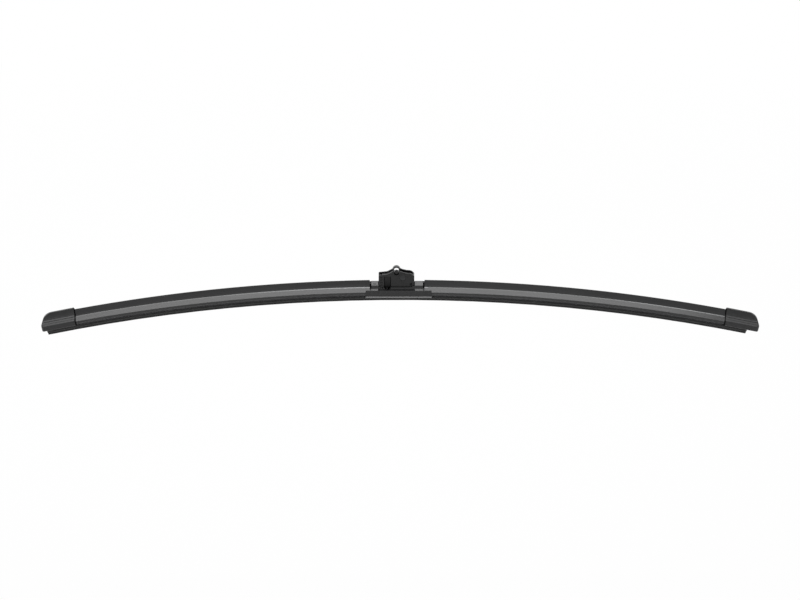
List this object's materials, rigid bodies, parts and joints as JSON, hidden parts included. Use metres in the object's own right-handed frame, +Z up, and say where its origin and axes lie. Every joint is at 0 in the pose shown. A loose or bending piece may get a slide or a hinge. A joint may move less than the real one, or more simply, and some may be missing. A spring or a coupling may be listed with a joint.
{
  "type": "wiper blade",
  "caption": "Bowed flat windscreen wiper blade with air spoiler, end caps, covered base and a rocking adapter with an eye for a side-pin arm.",
  "frame": {"origin": "middle of the adapter's eye, on the axis of the arm's pin", "axes": "+X along the blade to the right as seen from the front, +Y to the rear along the arm's pin, +Z up, away from the glass"},
  "size_m": [0.6455, 0.0178, 0.0665],
  "materials": {
    "wiper_rubber": "matt black rubber",
    "spring_steel": "dull spring steel",
    "spoiler_plastic": "satin black extruded plastic",
    "cap_plastic": "finely grained black plastic",
    "coated_steel": "black coated steel",
    "cover_plastic": "satin black plastic",
    "pin_steel": "blackened steel",
    "adapter_plastic": "satin black plastic"
  },
  "bodies": {
    "adapter": {"adapter": "adapter_plastic"},
    "blade": {"wiper_rubber": "wiper_rubber", "spring_rail_front": "spring_steel", "spring_rail_rear": "spring_steel", "spoiler_left": "spoiler_plastic", "spoiler_right": "spoiler_plastic", "end_cap_left": "cap_plastic", "end_cap_right": "cap_plastic", "base_bracket": "coated_steel", "base_cover": "cover_plastic", "pivot_pin": "pin_steel"}
  },
  "joints": [
    {"name": "blade_rock", "type": "hinge", "parent": "adapter", "child": "blade", "pos_m": [0.0056, 0, -0.0064], "axis": [0, 1, 0], "range_deg": [-10, 10]}
  ]
}
